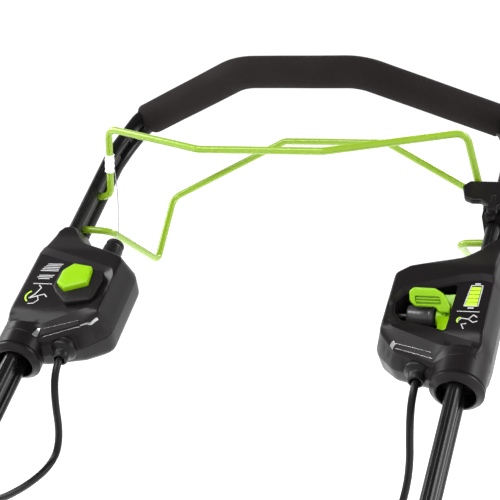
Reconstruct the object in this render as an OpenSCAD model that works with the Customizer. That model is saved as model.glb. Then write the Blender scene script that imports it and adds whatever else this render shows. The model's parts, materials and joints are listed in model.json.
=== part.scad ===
// Battery-powered self-propelled lawn mower with a folding, telescoping handle.
// Millimetres. +Z is up, -Y is the front of the mower, the operator stands at +Y.
// The origin is on the ground, under the centre of the whole machine.

/* [Handle] */
// Angle of the handle above the ground
handle_angle = 38; // [36:1:40]
// Half the distance between the two handle rails
rail_x = 235; // [234:1:236]
// Diameter of one of the two round lobes of a rail
lobe_d = 14.5; // [14:0.5:15]
// Distance from the drive bail's pivot down to the deck pivot, along the rail
handle_len = 960; // [940:10:980]
// Diameter of the green bail rods
bail_d = 8; // [7:0.5:9]
// Diameter of the control cables
cable_d = 8; // [7:0.5:8]
// How far the upper handle slides into the lower rails
slide_travel = 150; // [100:10:150]

/* [Deck] */
// Outer radius of the blade chamber
chamber_r = 276; // [274:1:277]
// Wall thickness of the deck
deck_wall = 3; // [2.5:0.5:4]
// Length of the blade from tip to tip
blade_len = 524; // [480:4:528]

/* [Wheels] */
// Radius of a front wheel
front_r = 100; // [95:1:102]
// Radius of a rear wheel
rear_r = 125; // [120:1:126]
// Width of a tyre
tyre_w = 44; // [40:1:46]
// Distance from the middle of the mower to the middle of a wheel
wheel_x = 270; // [269:1:272]

/* [Hidden] */
$fn = 48;
eps = 0.01;
run = 0.06;      // radial clearance of a running fit
gap = 0.4;       // clearance between neighbouring moving parts

// Handle points, in the handle's own frame: across, up along the rail, and out of its front
pivot_a_v = 55;  // blade bail pivot, above the drive bail pivot
grip_end = [215, 194, 2];
grip_bend = [71, 171, 91];
blade_bail_pts = [[231, 55, 0], [217, 55, 1], [204, 77, 84], [69, 12, 111]];
drive_bail_pts = [[231, 0, 0], [199, 1, -3], [197, 75, -119], [202, 169, -103], [64, 228, -59]];
bail_r = bail_d / 2;
lobe_r = lobe_d / 2;
lobe_w = 10.5;                       // each lobe's distance from the rail's middle
box_in = 148;                        // inner side of a control box
box_out = 260;                       // outer side of a control box
box_top = 31;                        // front face of a control box
box_bot = -29;                       // back face of a control box
button_c = [-193, -110];             // middle of the start button
boot_u = -184;                       // rubber boot of the bail cable
lever_c = [187, -120, 10];           // axis of the speed lever
gland_u = [-187, 193];               // where the two cables leave their boxes
gland_v = -178;
grommet_v = -390;
paddle_v = 19;                       // speed paddle's pin
paddle_w = 31;
upper_end = -700;                    // lower end of the upper rails
collar_v = -560;                     // upper end of the lower rails

// Deck points, in the deck's own frame, whose origin is under the blade spindle
pivot_y = 265;
pivot_z = 255;
deck_top = 150;
skirt_z = 52;
front_axle_y = -252;
rear_axle_y = 320;
crank_len = 48;
front_pivot_y = front_axle_y - crank_len;
rear_pivot_y = rear_axle_y - crank_len;
link_up = 60;                        // how far the link's pins stand above the crank pivots
crank_x = 236;                       // middle of a crank arm
lever_x = 198;                       // middle of the height lever
shaft_r = 6;
spindle_r = 8;
cowl_y = -50;                        // middle of the motor cowl
lid_y = -91;                         // hinge of the battery lid
lid_z = 304.5;
door_y = 334;                        // rear door
door_z = 248;
peg_r = 4;                           // grass bag pegs beside the chute
peg_len = 12;
peg_y = 352;
peg_z = 268;
cheek_x = 130;                       // outer side of the chute hood
cheek_t = 6;
side_hinge_x = -284;
side_hinge_z = 132;

// The handle's origin in the deck's frame, and the shift that centres the whole machine
handle_y = pivot_y + handle_len * cos(handle_angle);
handle_z = pivot_z + handle_len * sin(handle_angle);
rear_reach = handle_y + 228 * cos(handle_angle) + 59 * sin(handle_angle) + bail_r;
front_reach = front_axle_y - front_r;
shift_y = -(rear_reach + front_reach) / 2;

BODY = [0.07, 0.07, 0.08];
TRIM = [0.14, 0.13, 0.15];
LIME = [0.50, 0.86, 0.05];
STEEL = [0.72, 0.73, 0.75];
RUBBER = [0.03, 0.03, 0.03];

// ---------- frames and helpers ----------

module deck_at() {
    translate([0, shift_y, 0]) children();
}

module handle_at() {
    translate([0, handle_y + shift_y, handle_z]) rotate([handle_angle, 0, 0]) children();
}

// A cylinder along X from x = a to x = b
module rod_x(r, a, b, y = 0, z = 0) {
    translate([a, y, z]) rotate([0, 90, 0]) cylinder(r = r, h = b - a);
}

// A cylinder along Y from y = a to y = b
module rod_y(r, a, b, x = 0, z = 0) {
    translate([x, a, z]) rotate([-90, 0, 0]) cylinder(r = r, h = b - a);
}

module both_sides() {
    children();
    mirror([1, 0, 0]) children();
}

module rounded_rect(x, y, r) {
    translate([-x / 2 + r, -y / 2]) square([x - 2 * r, y]);
    translate([-x / 2, -y / 2 + r]) square([x, y - 2 * r]);
    for (sx = [-1, 1], sy = [-1, 1])
        translate([sx * (x / 2 - r), sy * (y / 2 - r)]) circle(r = r);
}

function unit(v) = v / norm(v);

// The same points with each corner replaced by a curve that starts up to d before it
function rounded(p, d, n = 5) = concat(
    [p[0]],
    [for (i = [1:len(p) - 2])
        let (e = min(d, 0.45 * norm(p[i - 1] - p[i]), 0.45 * norm(p[i + 1] - p[i])))
        let (a = p[i] + e * unit(p[i - 1] - p[i]), b = p[i] + e * unit(p[i + 1] - p[i]))
        for (k = [0:n])
            let (t = k / n)
            (1 - t) * (1 - t) * a + 2 * t * (1 - t) * p[i] + t * t * b],
    [p[len(p) - 1]]);

// A smooth curve through the points
function spline(p, n) = concat(
    [for (i = [0:len(p) - 2])
        let (a = p[max(i - 1, 0)], b = p[i], c = p[i + 1], d = p[min(i + 2, len(p) - 1)])
        for (k = [0:n - 1])
            let (t = k / n)
            0.5 * (2 * b + t * (c - a) + t * t * (2 * a - 5 * b + 4 * c - d)
                + t * t * t * (3 * b - a - 3 * c + d))],
    [p[len(p) - 1]]);

// The points, and then their mirror image back to the other end
function mirrored(v) = [-v[0], v[1], v[2]];
function there_and_back(p) = concat(p, [for (i = [len(p) - 1:-1:0]) mirrored(p[i])]);

function tangents(p) = [for (i = [0:len(p) - 1]) unit(p[min(i + 1, len(p) - 1)] - p[max(i - 1, 0)])];

// Carries one sideways direction along the tangents without twist
function carried(t, n, i = 0, done = []) = i == len(t)
    ? done
    : let (q = unit(n - (n * t[i]) * t[i])) carried(t, q, i + 1, concat(done, [q]));

// One ring of points of half-widths r1 and r2 at each point of the path
function rings(p, t, s, r1, r2, sides) = [
    for (i = [0:len(p) - 1]) for (k = [0:sides - 1])
        p[i] + r1 * cos(360 * k / sides) * s[i] + r2 * sin(360 * k / sides) * cross(t[i], s[i])];

// Triangles between neighbouring rings, from point number base on
function walls(count, sides, base = 0) = [
    for (i = [0:count - 2]) for (k = [0:sides - 1])
        let (a = base + i * sides + k, b = base + i * sides + (k + 1) % sides)
        each [[a, a + sides, b + sides], [a, b + sides, b]]];

function turned(faces) = [for (f = faces) [f[2], f[1], f[0]]];

// A rod of half-widths r1 and r2 along the points; side is the direction of r1 at the start
module sweep(p, r1, r2, sides = 10, side = [0, 1, 0]) {
    t = tangents(p);
    last = (len(p) - 1) * sides;
    caps = [[for (k = [0:sides - 1]) k], [for (k = [sides - 1:-1:0]) last + k]];
    polyhedron(rings(p, t, carried(t, side), r1, r2, sides), concat(caps, walls(len(p), sides)));
}

// A tube along the points, r1 by r2 outside and i1 by i2 inside, with flat rings at its ends
module sweep_tube(p, r1, r2, i1, i2, sides, side) {
    t = tangents(p);
    s = carried(t, side);
    n = len(p) * sides;
    last = (len(p) - 1) * sides;
    ends = [for (e = [0, last]) [for (k = [0:sides - 1])
        let (a = e + k, b = e + (k + 1) % sides)
        each [[a, b, b + n], [a, b + n, a + n]]]];
    polyhedron(concat(rings(p, t, s, r1, r2, sides), rings(p, t, s, i1, i2, sides)),
        concat(walls(len(p), sides), turned(walls(len(p), sides, n)), ends[0], turned(ends[1])));
}

// ---------- handle ----------

// Cross-section of a rail: two round lobes and a narrow waist; more grows it all round
module rail_section(more = 0) {
    for (s = [-1, 1]) translate([0, s * lobe_w]) circle(r = lobe_r + more);
    square([6 + 2 * more, 2 * lobe_w], center = true);
}

// A rail's section drawn out along the rail from v = a to v = b
module rail_run(a, b, more = 0) {
    translate([rail_x, a, 0]) rotate([-90, 0, 0]) linear_extrude(b - a) rail_section(more);
}

grip_path = rounded(there_and_back([grip_end, grip_bend]), 34, 6);
rail_top = 118;                      // above this the two lobes part and bend towards the grip
lobe_path = [[rail_x, 110, 0], [234.5, 122, 0], [232.8, 135, 0], [229.6, 149, 1], [226, 163, 2], [220.5, 179, 4],
    [212.5, 190, 6], [204, 191, 9]];
lobe_lean = [0, 0, 0, 0, 5, 15, 30, 30]; // turn of the pair of lobes about the rail's length
lobe_near = [lobe_w, lobe_w, lobe_w, 10.2, 9.6, 8.8, 8, 8];

module handle_frame() color(BODY) handle_at() {
    both_sides() difference() {
        rail_run(upper_end, rail_top);
        rod_x(bail_r + run + 1.5, rail_x - 12, rail_x + 12, 0, 0);
        rod_x(bail_r + run + 1.5, rail_x - 12, rail_x + 12, pivot_a_v, 0);
        rod_x(5, rail_x - 12, rail_x, grommet_v, 0);
    }
    both_sides() for (s = [-1, 1])
        sweep(spline([for (i = [0:len(lobe_path) - 1])
            lobe_path[i] + s * lobe_near[i] * [sin(lobe_lean[i]), 0, cos(lobe_lean[i])]], 2),
            lobe_r - 0.4, lobe_r - 0.4, 12, [1, 0, 0]);
    sweep(grip_path, 10, 12.5, 12, [0, 1, 0]);
}

module foam_grip() color(RUBBER) handle_at() sweep_tube(grip_path, 15.5, 20, 10.2, 12.7, 20, [0, 1, 0]);

module bail_bushes() color(TRIM) handle_at() both_sides() for (v = [0, pivot_a_v]) difference() {
    union() {
        rod_x(bail_r + run + 1.5, rail_x - 3.2, rail_x + 9, v, 0);
        rod_x(bail_r + 4, rail_x + lobe_r + 0.1, rail_x + 10, v, 0);
    }
    rod_x(bail_r + run, rail_x - 4, rail_x + 8, v, 0);
}

module bail(p, d) {
    sweep(rounded(there_and_back(p), d, 5), bail_r, bail_r, 12, [0, 0.5, 0.86]);
    both_sides() rod_x(bail_r, p[0][0] - 0.5, rail_x + 7, p[0][1], p[0][2]);
}

module blade_bail() color(LIME) handle_at() bail(blade_bail_pts, 14);

module drive_bail() color(LIME) handle_at() bail(drive_bail_pts, 13);

// ---------- control boxes ----------

// Outline of a control box, on the +X side
module box_outline(in = 0) {
    offset(r = 10, $fn = 32) offset(delta = -10 - in)
        polygon([[box_out, -20], [box_out - 12, -12], [222, -14], [196, -44], [160, -58], [box_in, -68],
            [box_in, -160], [162, -172], [222, -180], [box_out, -176]]);
}

// One half of a control box shell between two heights, hollow, with the rail's channel
module box_half(low, high, open_low) {
    wall = 2.6;
    difference() {
        translate([0, 0, low]) linear_extrude(high - low) box_outline();
        translate([0, 0, open_low ? low - 1 : low + wall])
            linear_extrude(high - low - wall + 1) box_outline(wall);
        rail_run(-230, 30, 0.3);
        translate([rail_x - lobe_r - 0.3, -230, -lobe_w]) cube([lobe_d + 0.6, 260, 2 * lobe_w]);
    }
    // collar round the rail, below the box
    difference() {
        translate([rail_x, -178, 0]) rotate([90, 0, 0]) cylinder(r = 27, h = 30);
        rail_run(-230, 30, 0.3);
        translate([rail_x - 40, -230, open_low ? -60 : 0]) cube([80, 80, 60]);
    }
}

module gland_hole(u) {
    rod_y(11.3, -200, -150, u, 0);
}

module left_box_front() color(BODY) handle_at() difference() {
    mirror([1, 0, 0]) box_half(0.1, box_top, true);
    translate([0, 0, box_top - 4]) linear_extrude(10) panel_outline(0.3);
    gland_hole(gland_u[0]);
    rod_y(11.4, -90, 0, boot_u, 0);
}

module left_box_back() color(BODY) handle_at() difference() {
    mirror([1, 0, 0]) box_half(box_bot, -0.1, false);
    gland_hole(gland_u[0]);
    rod_y(11.4, -90, 0, boot_u, 0);
}

// Recessed panel of the left box: a field that points inwards
module panel_outline(more = 0) {
    offset(delta = more)
        polygon([[-246, -64], [-168, -78], [-157, -96], [-157, -130], [-168, -146], [-246, -166]]);
}

module left_panel() color(TRIM) handle_at() difference() {
    union() {
        translate([0, 0, box_top - 3.8]) linear_extrude(2.5) panel_outline();
        translate([button_c[0], button_c[1], 19.5]) rotate(30) cylinder(r = 27, h = 14, $fn = 6);
        translate([button_c[0], button_c[1], 4]) cylinder(r = 15, h = 16);
    }
    translate([button_c[0], button_c[1], 22]) rotate(30) cylinder(r = 21 + 2 * gap, h = 30, $fn = 6);
    translate([button_c[0], button_c[1], 6.5]) cylinder(r = 12.5, h = 13);
    translate([button_c[0], button_c[1], 6.5]) cylinder(r = 5.4, h = 30);
}

module start_button() color(LIME) handle_at() translate([button_c[0], button_c[1], 0]) {
    translate([0, 0, 26]) rotate(30) cylinder(r = 21, h = 12, $fn = 6);
    translate([0, 0, 15]) cylinder(r = 5, h = 12);
    translate([0, 0, 14]) cylinder(r = 11, h = 2);
}

module button_spring() color(STEEL) handle_at() translate([button_c[0], button_c[1], 0]) difference() {
    translate([0, 0, 6.5]) cylinder(r = 9, h = 7.4);
    translate([0, 0, 6]) cylinder(r = 7.8, h = 9);
}

module start_switch() color(TRIM) handle_at() translate([button_c[0], button_c[1], 0]) {
    translate([-4, -4, 6.5]) cube([8, 8, 3.5]);
}

module cable_boot() color(RUBBER) handle_at() difference() {
    union() {
        rod_y(11, -68, -26, boot_u, 0);
        rod_y(9, -26, -22, boot_u, 0);
    }
    rod_y(2.4, -70, -20, boot_u, 0);
}

bail_cable_pts = [[-184, -60, 0], [-184, -20, 0], [-187, 5, 13], [-193, 32, 29], [-202, 58, 43]];

module bail_cable() color(STEEL) handle_at() sweep(spline(bail_cable_pts, 4), 0.8, 0.8, 8, [1, 0, 0]);

module bail_cable_clip() color([0.85, 0.87, 0.88]) handle_at() sweep(
    [[-212.2, 63.6, 33], [-211.2, 65.2, 39], [-210, 67, 46], [-209, 68.6, 52]], 5.5, 5.5, 10, [1, 0, 0]);

module right_box_front() color(BODY) handle_at() difference() {
    box_half(0.1, box_top, true);
    translate([0, 0, box_top - 4]) linear_extrude(10) right_panel_outline(0.3);
    translate([0, 0, -1]) linear_extrude(60) lever_window();
    gland_hole(gland_u[1]);
}

module right_box_back() color(BODY) handle_at() difference() {
    box_half(box_bot, -0.1, false);
    gland_hole(gland_u[1]);
}

// Opening of the right box over the speed lever
module lever_window() {
    offset(r = 6, $fn = 32) offset(delta = -6)
        polygon([[160, -92], [176, -84], [218, -78], [213, -150], [160, -140]]);
}

module right_panel_outline(more = 0) {
    offset(delta = more) polygon([[221, -80], [248, -72], [250, -166], [217, -158]]);
}

module right_panel() color(TRIM) handle_at() {
    translate([0, 0, box_top - 3.8]) linear_extrude(2.5) right_panel_outline();
}

// Dark drum that the speed lever turns on, with its two end stubs
module lever_drum() color(TRIM) handle_at() {
    rod_x(11, 165, 191, lever_c[1], lever_c[2]);
    rod_x(5, 190.9, 212, lever_c[1], lever_c[2]);
    rod_x(8, 150.8, 165.1, lever_c[1], lever_c[2]);
}

// The lever: a fan-shaped plate on the drum's stub and a slotted finger loop
module speed_lever() color(LIME) handle_at() translate([0, lever_c[1], lever_c[2]]) difference() {
    union() {
        rod_x(15, 192, 208, 0, 0);
        translate([196, -4, 0]) cube([10, 17, 26]);
        translate([172, 0, 14.5]) cube([34, 13, 13]);
        translate([200, -24, 7.5]) cube([13, 37, 4]);
    }
    rod_x(5 + run, 190, 210, 0, 0);
    translate([178, 3, 23.5]) cube([22, 7, 10]);
}

module cable_glands() color(RUBBER) handle_at() for (i = [0, 1]) difference() {
    union() {
        rod_y(11, gland_v - 2, gland_v + 12, gland_u[i], 0);
        rod_y(14, gland_v - 14, gland_v - 2, gland_u[i], 0);
        rod_y(8.5, gland_v - 22, gland_v - 14, gland_u[i], 0);
    }
    rod_y(cable_d / 2 + 0.05, gland_v - 23, gland_v + 13, gland_u[i], 0);
}

// Routes of the two cables, from the glands down in a slack loop to the rails
left_cable_pts = [
    [-187, -170, 0], [-187, -190, 0], [-187, -205, -1], [-187, -218, -8], [-187, -228, -20],
    [-187, -236, -35], [-187, -243, -51], [-188, -251, -65], [-190, -263, -75], [-194, -280, -77],
    [-198, -300, -71], [-202, -322, -60], [-206, -345, -45], [-209, -364, -28], [-212, -379, -12],
    [-219, -388, -3], [-231, -390, 0]];
right_cable_pts = [
    [193, -170, 0], [193, -190, 0], [193, -205, -1], [192, -218, -8], [191, -229, -21],
    [190, -238, -38], [189, -247, -57], [186, -257, -77], [181, -269, -95], [175, -286, -109],
    [171, -306, -116], [170, -328, -113], [175, -348, -98], [184, -364, -75], [194, -376, -49],
    [204, -385, -24], [216, -390, -6], [231, -390, 0]];

module left_cable() color(RUBBER) handle_at() sweep(spline(left_cable_pts, 2), 4, 4, 8, [1, 0, 0]);

module right_cable() color(RUBBER) handle_at() sweep(spline(right_cable_pts, 2), 4, 4, 8, [1, 0, 0]);

module cable_grommets() color(RUBBER) handle_at() both_sides() difference() {
    rod_x(8, rail_x - 12, rail_x - 1, grommet_v, 0);
    rail_run(grommet_v - 20, grommet_v + 20, 0.05);
    rod_x(cable_d / 2 + 1.6, rail_x - 18, rail_x + 2, grommet_v, 0);
}

// Clamp on the right rail that carries the T-shaped speed paddle
module paddle_clamp() color(TRIM) handle_at() difference() {
    union() {
        translate([rail_x - 11, 14, -6]) cube([22, 14, 30]);
        translate([rail_x - 4, 14, 22]) cube([8, 11, 14]);
        rod_x(2.5, rail_x - 9, rail_x + 9, paddle_v, paddle_w);
    }
    rail_run(10, 50, 0.1);
}

module speed_paddle() color(BODY) handle_at() difference() {
    union() {
        for (s = [-1, 1]) translate([rail_x + s * 7 - 2.5, 15, paddle_w - 5]) cube([5, 19, 10]);
        translate([rail_x - 36, 30, paddle_w - 3]) cube([72, 26, 7]);
        rod_y(4, 28, 50, rail_x, paddle_w);
    }
    rod_x(2.5 + run, rail_x - 20, rail_x + 20, paddle_v, paddle_w);
}

// ---------- lower handle ----------

module lower_rails() color(BODY) handle_at() both_sides() {
    difference() {
        union() {
            translate([rail_x, -handle_len, 0]) rotate([-90, 0, 0])
                linear_extrude(handle_len + collar_v) rounded_rect(20, 42, 8);
            translate([rail_x, collar_v - 40, 0]) rotate([-90, 0, 0])
                linear_extrude(40) rounded_rect(25, 48, 9);
            rod_x(16, rail_x - 10, rail_x + 10, -handle_len, 0);
        }
        rail_run(upper_end - slide_travel - 20, collar_v + 10, gap);
        translate([rail_x - lobe_r - gap, upper_end - slide_travel - 20, -lobe_w])
            cube([lobe_d + 2 * gap, collar_v + 30 - upper_end + slide_travel, 2 * lobe_w]);
        rod_x(5 + run, rail_x - 20, rail_x + 20, -handle_len, 0);
    }
    // ears that carry the cam lever, on the collar's inner side
    for (v = [collar_v - 34, collar_v - 14]) difference() {
        translate([rail_x - 27, v, -6]) cube([15, 6, 12]);
        rod_y(2.5 + run, v - 1, v + 7, rail_x - 21, 0);
    }
}

module cam_lever(s) {
    mirror([s < 0 ? 1 : 0, 0, 0]) {
        rod_y(2.5, collar_v - 35, collar_v - 7, rail_x - 21, 0);
        translate([rail_x - 26, collar_v - 27.5, -5]) cube([8, 13, 10]);
        translate([rail_x - 28, collar_v - 27.5, -58]) cube([5, 13, 56]);
    }
}

module cam_lever_left() color(LIME) handle_at() cam_lever(-1);

module cam_lever_right() color(LIME) handle_at() cam_lever(1);

module handle_brackets() color(TRIM) deck_at() both_sides() {
    difference() {
        hull() {
            translate([215, 228, deck_top]) cube([7, 74, 4]);
            rod_x(18, 215, 222, pivot_y, pivot_z);
        }
        rod_x(8, 210, 230, pivot_y, pivot_z - 50);
    }
    rod_x(5, 214, rail_x + 10, pivot_y, pivot_z);
    rod_x(9, 221.9, 224.6, pivot_y, pivot_z);
    translate([205, 228, deck_top]) cube([11, 68, 3]);
}

// ---------- deck ----------

module chamber(r, top, low) {
    rotate_extrude($fn = 96)
        polygon([[0, low], [r, low], [r, top - 40], [r - 14, top - 18], [r - 42, top - 4], [r - 60, top], [0, top]]);
}

module deck_shell() color(BODY) deck_at() difference() {
    union() {
        chamber(chamber_r, deck_top, skirt_z);
        // rear block with side cheeks
        translate([-213, 110, 62]) cube([426, 186, deck_top - 62]);
        // chute hood
        translate([-130, 100, deck_top - 2]) cube([260, 230, 98]);
        // cheeks beside the chute, with pegs that the grass bag's frame hooks on
        both_sides() {
            bag_cheek();
            rod_x(peg_r, cheek_x + 1, cheek_x + cheek_t + peg_len, peg_y, peg_z);
        }
        // rear door lugs
        both_sides() translate([112, 322, 240]) cube([12, 17, 16]);
    }
    translate([0, 0, -1]) chamber(chamber_r - deck_wall, deck_top - deck_wall + 1, skirt_z);
    // hollow of the rear block, open below
    translate([-209, 114, 50]) cube([418, 178, deck_top - 54]);
    // chute: up through the deck and out at the back
    translate([-126, 130, 100]) cube([252, 100, 144]);
    translate([-126, 190, 182]) cube([252, 200, 62]);
    translate([-126, 234, 50]) cube([252, 110, 127]);
    translate([-140, 297, 140]) cube([280, 50, 37]);
    // slot for the height lever
    translate([184, rear_pivot_y - 70, 140]) cube([18, 140, 20]);
    // side opening behind the side door
    translate([-300, -70, 66]) cube([60, 140, 48]);
    both_sides() rod_x(shaft_r + run, 200, 220, rear_pivot_y, rear_r);
    translate([0, 0, 100]) cylinder(r = 30, h = 60);
    rod_x(3 + run, -140, 140, door_y, door_z);
}

// Lugs that carry the side door's hinge pin, screwed to the side of the chamber
module side_door_lugs() color(TRIM) deck_at() difference() {
    for (y = [-98, 86]) translate([-290, y, 100]) cube([40, 12, 38]);
    translate([0, 0, 40]) cylinder(r = chamber_r + 0.1, h = 200, $fn = 96);
    rod_y(3 + run, -110, 110, side_hinge_x, side_hinge_z);
}

// Plate that carries a bag peg behind the chute hood
module bag_cheek() {
    hull() {
        translate([cheek_x, 284, 190]) cube([cheek_t, 44, 56]);
        rod_x(9, cheek_x, cheek_x + cheek_t, peg_y, peg_z);
    }
}

// Brackets that carry the front axle's pivots, bolted to the deck's front corners
module front_brackets() color(TRIM) deck_at() difference() {
    both_sides() {
        hull() {
            translate([206, -196, 84]) cube([8, 26, 44]);
            rod_x(16, 206, 214, front_pivot_y, front_r);
        }
        translate([192, -200, 84]) cube([22, 8, 44]);
    }
    rod_x(shaft_r + run, -230, 230, front_pivot_y, front_r);
    translate([0, 0, 40]) cylinder(r = chamber_r + 0.1, h = 200, $fn = 96);
}

module front_fascia() color(TRIM) deck_at() difference() {
    hull() {
        translate([0, -250, 84]) linear_extrude(40) rounded_rect(340, 140, 60);
        translate([0, -240, 84]) linear_extrude(66) rounded_rect(320, 120, 55);
    }
    translate([0, 0, 40]) cylinder(r = chamber_r + 0.1, h = 200, $fn = 96);
    translate([-200, -312, 70]) cube([400, 60, 64]);
}

module cowl_form(in = 0) {
    hull() {
        translate([0, cowl_y, deck_top + 0.1]) linear_extrude(8) rounded_rect(320 - 2 * in, 296 - 2 * in, 70);
        translate([0, cowl_y, 236]) linear_extrude(6) rounded_rect(286 - 2 * in, 262 - 2 * in, 62);
        translate([0, cowl_y, 296 - in]) linear_extrude(4) rounded_rect(214 - 2 * in, 196 - 2 * in, 50);
    }
}

module motor_cowl() color(BODY) deck_at() difference() {
    union() {
        cowl_form();
        both_sides() translate([50.5, lid_y - 5, 292]) cube([7, 10, 17]);
    }
    rod_x(4 + run, -60, 60, lid_y, lid_z);
    translate([0, 0, -eps]) cowl_form(3);
    translate([-66, -82, 200]) cube([132, 126, 120]);
    translate([0, -112, 280]) cylinder(r = 9, h = 40);
    // cooling slots on both sides
    for (i = [0:5]) translate([-200, -130 + i * 30, 180]) cube([400, 12, 30]);
}

module motor() color(TRIM) deck_at() difference() {
    union() {
        translate([0, 0, deck_top]) cylinder(r = 78, h = 6);
        translate([0, 0, deck_top + 6]) cylinder(r = 64, h = 56);
        translate([0, 0, deck_top - 14]) cylinder(r = 26, h = 16);
    }
    translate([0, 0, deck_top - 20]) cylinder(r = spindle_r + run, h = 100);
}

module blade_spindle() color(STEEL) deck_at() {
    translate([0, 0, 76]) cylinder(r = spindle_r, h = 120);
    translate([0, 0, 74]) cylinder(r = 30, h = 14);
    for (s = [-1, 1]) translate([s * 20 - 4, -4, 71]) cube([8, 8, 4]);
}

module blade() color(STEEL) deck_at() difference() {
    union() {
        translate([-blade_len / 2, -29, 70]) cube([blade_len, 58, 4]);
        for (s = [0, 180]) rotate(s) translate([blade_len / 2 - 90, 14, 71]) rotate([32, 0, 0]) cube([90, 26, 4]);
    }
    translate([0, 0, 60]) cylinder(r = 6.2, h = 30);
    for (s = [-1, 1]) translate([s * 20 - 4.5, -4.5, 60]) cube([9, 9, 30]);
    difference() {
        translate([0, 0, 50]) cylinder(r = blade_len, h = 60);
        translate([0, 0, 49]) cylinder(r = blade_len / 2, h = 62, $fn = 96);
    }
}

module blade_bolt() color(STEEL) deck_at() {
    translate([0, 0, 66]) cylinder(r = 17, h = 4);
    translate([0, 0, 57]) cylinder(r = 11, h = 9, $fn = 6);
    translate([0, 0, 69]) cylinder(r = 6, h = 5);
}

module battery_tray() color(TRIM) deck_at() difference() {
    translate([-65, -81, 214]) cube([130, 124, 82]);
    translate([-62, -78, 218]) cube([124, 118, 90]);
}

module battery_pack() color(BODY) deck_at() difference() {
    union() {
        translate([0, -19, 218.1]) linear_extrude(66) rounded_rect(118, 112, 12);
        translate([0, -19, 284]) linear_extrude(8) rounded_rect(90, 60, 8);
    }
    translate([-34, -30, 286]) cube([68, 22, 10]);
}

module battery_lid() color(BODY) deck_at() {
    difference() {
        translate([0, -19, 300.4]) linear_extrude(7) rounded_rect(150, 140, 20);
        translate([0, -19, 299]) linear_extrude(5) rounded_rect(140, 130, 16);
        both_sides() translate([49.8, lid_y - 6, 290]) cube([8.4, 14, 40]);
    }
    rod_x(4, -57, 57, lid_y, lid_z);
    translate([-14, 50, 300.4]) cube([28, 6, 5]);
}

module safety_key() color(LIME) deck_at() {
    translate([0, -112, 284]) cylinder(r = 8.5, h = 18);
    translate([-3, -126, 301]) cube([6, 28, 14]);
}

module rear_door() color(BODY) deck_at() {
    translate([-126, door_y - 3, 178]) cube([252, 5, 50]);
    translate([-109, door_y - 3, 227]) cube([218, 5, 12.4]);
    both_sides() translate([80, door_y - 3, 236]) cube([24, 6, 10]);
    rod_x(3, -130, 130, door_y, door_z);
}

module side_door() color(BODY) deck_at() {
    translate([side_hinge_x - 3, -80, 58]) cube([4, 160, 68]);
    translate([side_hinge_x - 3, -60, 120]) cube([6, 120, 12]);
    rod_y(3, -96, 96, side_hinge_x, side_hinge_z);
}

// ---------- axles, height setting and wheels ----------

module crank_arm(py, ay, z) {
    hull() {
        rod_x(12, crank_x - 4, crank_x + 4, py, z);
        rod_x(12, crank_x - 4, crank_x + 4, ay, z);
    }
}

module front_axle() color(STEEL) deck_at() {
    rod_x(shaft_r, -crank_x, crank_x, front_pivot_y, front_r);
    both_sides() {
        crank_arm(front_pivot_y, front_axle_y, front_r);
        rod_x(shaft_r, crank_x, wheel_x + 12, front_axle_y, front_r);
    }
    difference() {
        hull() {
            rod_x(10, lever_x - 10, lever_x - 4, front_pivot_y, front_r);
            rod_x(8, lever_x - 10, lever_x - 4, front_pivot_y, front_r + link_up);
        }
        rod_x(3 + run, lever_x - 20, lever_x + 10, front_pivot_y, front_r + link_up);
    }
}

module rear_axle() color(STEEL) deck_at() difference() {
    union() {
        both_sides() {
            crank_arm(rear_pivot_y, rear_axle_y, rear_r);
            rod_x(shaft_r, lever_x - 12, crank_x, rear_pivot_y, rear_r);
        }
        rod_x(13, -crank_x, crank_x, rear_axle_y, rear_r);
    }
    rod_x(shaft_r + run, -crank_x - 10, crank_x + 10, rear_axle_y, rear_r);
}

module drive_gearbox() color(TRIM) deck_at() difference() {
    union() {
        rod_x(29, -34, 34, rear_axle_y, rear_r);
        rod_x(24, 34, 74, rear_axle_y, rear_r);
        rod_x(20, -60, -34, rear_axle_y, rear_r);
    }
    rod_x(13.05, -80, 80, rear_axle_y, rear_r);
}

module drive_shaft() color(STEEL) deck_at() {
    rod_x(shaft_r, -wheel_x - 12, wheel_x + 12, rear_axle_y, rear_r);
}

module height_lever() color(TRIM) deck_at() difference() {
    union() {
        rod_x(13, lever_x - 11, lever_x - 4, rear_pivot_y, rear_r);
        translate([lever_x - 10, rear_pivot_y - 6, rear_r]) cube([6, 12, 176]);
        translate([lever_x - 18, rear_pivot_y - 11, rear_r + 172]) cube([22, 22, 40]);
    }
    rod_x(shaft_r + 0.02, lever_x - 30, lever_x + 10, rear_pivot_y, rear_r);
    rod_x(3 + run, lever_x - 30, lever_x + 10, rear_pivot_y, rear_r + link_up);
}

// Notched quarter plate beside the height lever
module height_sector() color(STEEL) deck_at() {
    difference() {
        rod_x(150, 179, 183, rear_pivot_y, rear_r);
        rod_x(128, 170, 190, rear_pivot_y, rear_r);
        translate([170, rear_pivot_y - 200, rear_r - 200]) cube([20, 400, 310]);
        for (a = [-24:8:24]) rotate_about(a) translate([170, -3, 141]) cube([20, 6, 20]);
    }
    translate([179, rear_pivot_y - 88, deck_top]) cube([4, 16, rear_r + 112 - deck_top]);
}

module rotate_about(a) {
    translate([0, rear_pivot_y, rear_r]) rotate([a, 0, 0]) children();
}

module height_link() color(STEEL) deck_at() {
    x = lever_x + 0.5;
    a = [x, front_pivot_y, front_r + link_up];
    b = [x, rear_pivot_y, rear_r + link_up];
    translate(a) rotate([atan((rear_r - front_r) / (rear_pivot_y - front_pivot_y)), 0, 0])
        rod_y(4, 0, norm(b - a));
    for (p = [a, b]) {
        rod_x(7, x - 3.5, x + 4, p[1], p[2]);
        rod_x(3, x - 14, x, p[1], p[2]);
    }
}

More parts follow.
